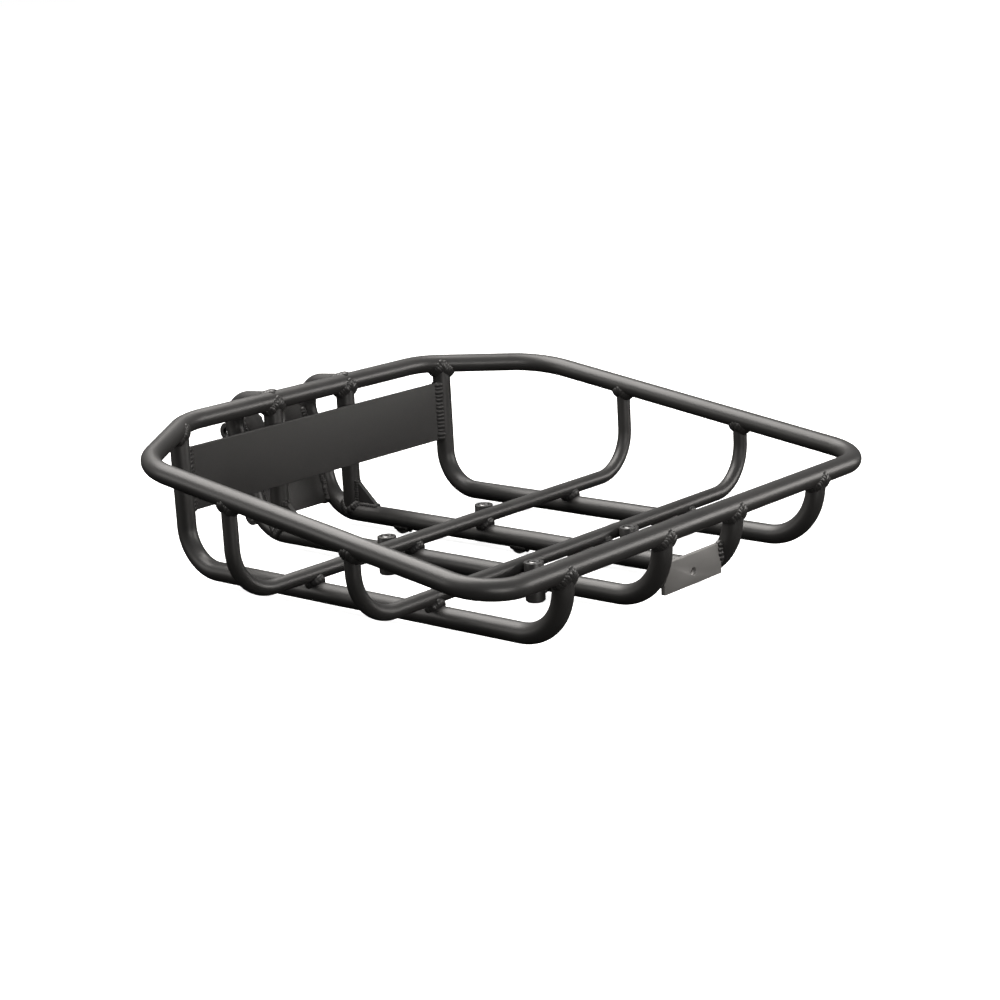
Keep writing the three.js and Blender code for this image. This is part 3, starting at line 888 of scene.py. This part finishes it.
def weld(name, lines, stands_on, **settings):
    """Lays beads along lines, as one piece."""
    global weld_count
    weld_count += 1
    host = line_object(name, lines, "outward", "FLOAT_VECTOR")
    piece = bake(host, weld_bead, {"Coat": weld_coat, "Seed": weld_count, **settings}, name, sharp=180)
    pieces.append((piece, [], stands_on))
    return piece


# %% Welds round the tubes' ends
RIM_SLOPE_WAY = Vector((0, 1, rise))
rim_lines, floor_lines = [], []
for side_name, side in SIDES:
    for x, flare in ((OUTER_X, OUTER_FLARE), (INNER_X, INNER_FLARE)):
        top = Vector((side * (x + flare), FRONT_Y, FRONT_Z))
        foot = Vector((side * x, FRONT_Y + RAIL_FOOT, RAIL_Z))
        rim_lines.append(saddle(top, foot - top, R, top, (1, 0, 0)))
    rear_end = Vector((side * OUTER_X, OUTER_REAR_Y, rim_z(OUTER_REAR_Y)))
    corner_way = Vector((side * (RIM_REAR_X - RIM_X), REAR_Y - SIDE_Y, REAR_Z - rim_z(SIDE_Y)))
    rim_lines.append(saddle(rear_end, (0, 0, -1), R, rear_end, corner_way))
    post_top = Vector((side * INNER_X, REAR_Y, REAR_Z))
    rim_lines.append(saddle(post_top, (0, 0, -1), R, post_top, (1, 0, 0)))
    back_way = Vector((0, lean_y(TOP_Z) - REAR_Y, TOP_Z - REAR_Z))
    rim_lines.append(saddle(post_top, back_way, R, post_top, (1, 0, 0)))
    post_foot = Vector((side * INNER_X, REAR_Y, RAIL_Z))
    floor_lines.append(saddle(post_foot, (0, 0, 1), R, post_foot, (0, 1, 0)))
    for row in ("rear", "front"):
        cross_end = Vector((side * RIM_X, CROSS_Y[row], rim_z(CROSS_Y[row])))
        rim_lines.append(saddle(cross_end, (0, 0, -1), CROSS_R, cross_end, RIM_SLOPE_WAY))
        for x in (INNER_X, OUTER_X):
            floor_lines.append(crossing(side * x, CROSS_Y[row], RAIL_Z + R))
weld("welds_rim", rim_lines, "tube_coat")
weld("welds_floor", floor_lines, "tube_coat", Width=7.4 * MM, Height=5 * MM)

# %% [markdown]
# ### Straight welds
#
# The plates, gussets, tabs and bosses are welded along straight lines. Each line starts from the
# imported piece's box and stands just outside the two faces it joins. The rear plate's ends carry the
# widest beads, with clear ripples. Behind it, thinner beads run down both sides of each post.

# %% Welds on the rear plate
END_INSET = 1.5 * MM           # a bead ends this far short of the plate's corners
END_OUT = 0.4 * MM             # its line stands this far outside the plate's face and end
POST_INSET = 12 * MM
POST_OUT = 0.6 * MM
POST_ASIDE = 4.4 * MM          # the beads beside a post lie this far from its centreline
plate_lines, post_lines = [], []
low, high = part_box("rear_plate")
for side_name, side in SIDES:
    x = side * (OUTER_X - R + END_OUT)
    for y, way in ((low.y - END_OUT, -1), (high.y + END_OUT, 1)):
        plate_lines.append(straight((x, y, high.z - END_INSET), (x, y, low.z + END_INSET),
                                    (-side * 0.5, way, 0)))
    y = high.y + POST_OUT
    for way in (-1, 1):
        x = side * INNER_X + way * POST_ASIDE
        post_lines.append(straight((x, y, high.z - POST_INSET), (x, y, low.z + POST_INSET), (way, 1, 0)))
weld("welds_back_plate", plate_lines, "plate_coat",
     Pitch=3.3 * MM, Width=10.4 * MM, Height=4.8 * MM, Length=5.6 * MM, Tilt=math.radians(22))
weld("welds_posts", post_lines, "plate_coat", Width=5 * MM, Height=3.4 * MM, Length=4.8 * MM)

# %% Welds on the leaning plate and on the lugs
NORMAL = Vector((0, math.cos(LEAN), -math.sin(LEAN)))
UPWARD = Vector((0, math.sin(LEAN), math.cos(LEAN)))
BRACKET_HALF = 2.5 * MM        # half the leaning plate's thickness
BRACKET_OUT = 0.3 * MM
BRACKET_START = 3 * MM         # its beads start this far above its lower edge
BRACKET_STOP = 8 * MM          # and stop this far below its top
LUG_HALF = 2 * MM              # half a lug's thickness
LUG_OUT = 0.2 * MM
LUG_RUN = 7 * MM               # a lug's bead runs this far either way from its middle
LUG_RISE = 86 * MM
LOWER_LUG_ANGLE = math.radians(32.6)
low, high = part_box("bracket_plate")
foot = Vector((0, low.y + BRACKET_HALF * math.cos(LEAN), low.z + BRACKET_HALF * math.sin(LEAN)))
tall = (high.z - low.z) / math.cos(LEAN)
back_centre_y = BACK_Y - BACK_BEND * math.tan((math.pi / 2 - LEAN) / 2)
bracket_lines, lug_lines = [], []
for side_name, side in SIDES:
    edge = Vector((side * high.x, 0, 0))
    for face in (-1, 1):
        offset = edge + NORMAL * face * (BRACKET_HALF + BRACKET_OUT)
        bracket_lines.append(straight(foot + UPWARD * BRACKET_START + offset,
                                      foot + UPWARD * (tall - BRACKET_STOP) + offset,
                                      NORMAL * face + Vector((-side, 0, 0))))
    upper = Vector((side * INNER_X, lean_y(RAIL_Z + LUG_RISE), RAIL_Z + LUG_RISE)) + NORMAL * R
    way = Vector((0, math.cos(LOWER_LUG_ANGLE), -math.sin(LOWER_LUG_ANGLE)))
    lower = Vector((side * INNER_X, back_centre_y, RAIL_Z + BACK_BEND)) + way * (BACK_BEND + R)
    for spot, out, run in ((upper, NORMAL, UPWARD), (lower, way, Vector((0, -way.z, way.y)))):
        for face in (-1, 1):
            offset = Vector((face * LUG_HALF, 0, 0)) + out * LUG_OUT
            lug_lines.append(straight(spot + offset - run * LUG_RUN, spot + offset + run * LUG_RUN,
                                      out + Vector((face, 0, 0))))
weld("welds_clamp_plate", bracket_lines, "plate_coat", Width=6 * MM, Height=3.8 * MM, Length=5 * MM)
weld("welds_lugs", lug_lines, "plate_coat",
     Pitch=2.2 * MM, Width=4 * MM, Height=2.8 * MM, Length=3.8 * MM)

# %% Welds on the gussets, the tabs and the bosses
TUBE_OUT = 0.2 * MM            # these lines stand this far outside the tube's skin
SHORT = 2 * MM                 # and stop this far short of a corner
BOSS_ASIDE = 3.6 * MM          # the two beads of a boss lie this far either side of its axis
BOSS_RUN = 5 * MM
small_lines = []
rail_top = RAIL_Z + R + TUBE_OUT
post_front = REAR_Y - R - TUBE_OUT
for side_name, side in SIDES:
    low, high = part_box(f"gusset_{side_name}")
    for x, face in ((low.x, -1), (high.x, 1)):
        small_lines.append(straight((x, low.y + SHORT, rail_top), (x, post_front - SHORT, rail_top),
                                    (face, 0, 1)))
        small_lines.append(straight((x, post_front, rail_top + SHORT), (x, post_front, high.z - MM),
                                    (face, -1, 0)))
for row in ("rear", "front"):
    low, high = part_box(f"rail_tab_{row}")
    for x, face in ((low.x, -1), (high.x, 1)):
        z = RAIL_Z - math.sqrt(R ** 2 - (x - INNER_X) ** 2)
        small_lines.append(straight((x, low.y + MM, z), (x, high.y - MM, z), (face, 0, -0.4)))
    for side_name, side in SIDES:
        low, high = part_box(f"boss_{row}_{side_name}")
        x = side * (INNER_X + R + TUBE_OUT)
        for face in (-1, 1):
            y = (low.y + high.y) / 2 + face * BOSS_ASIDE
            small_lines.append(straight((x, y, RAIL_Z + BOSS_RUN), (x, y, RAIL_Z - BOSS_RUN),
                                        (0, face, 0)))
weld("welds_small", small_lines, "tube_coat",
     Pitch=2.2 * MM, Width=4.6 * MM, Height=3.2 * MM, Length=4 * MM)

# %% Welds that bridge the lamp plate's ends and the bent rails
lamp_low, lamp_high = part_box("lamp_plate")
lamp_y = (lamp_low.y + lamp_high.y) / 2
bend_y = FRONT_Y + RAIL_FOOT + RAIL_BEND
bend_z = RAIL_Z + RAIL_BEND
LAMP_WELD_RUN = 14 * MM        # the bead's length down from the plate's top
LAMP_WELD_STEPS = 5
LAMP_WELD_OUT = 0.8 * MM       # it stands this far in front of the plate's middle plane
lamp_lines = []
for side_name, side in SIDES:
    points = []
    for i in range(LAMP_WELD_STEPS + 1):
        z = lamp_high.z - MM - LAMP_WELD_RUN * i / LAMP_WELD_STEPS
        rail = Vector((side * INNER_X, bend_y - math.sqrt(RAIL_BEND ** 2 - (bend_z - z) ** 2), z))
        end = Vector((side * lamp_high.x, lamp_y, z))
        skin = rail + (end - rail).normalized() * R
        points.append((skin + end) / 2 + Vector((0, -LAMP_WELD_OUT, 0)))
    lamp_lines.append((points, [Vector((-side * 0.2, -1, 0)).normalized()] * len(points), False))
weld("welds_lamp_plate", lamp_lines, "plate_coat",
     Pitch=3 * MM, Width=8 * MM, Height=7 * MM, Length=7 * MM)

# %% [markdown]
# ## Finish
#
# Nothing on the rack moves, so every piece rides on its one body. The packed solids that a piece stands for,
# if any, are hidden. The weld beads stand for no solid of their own.

# %% What each piece rides on and stands for
for piece, nodes, slot in pieces:
    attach(piece, "root")
    if nodes:
        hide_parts(*nodes)
print(len(pieces), "pieces")
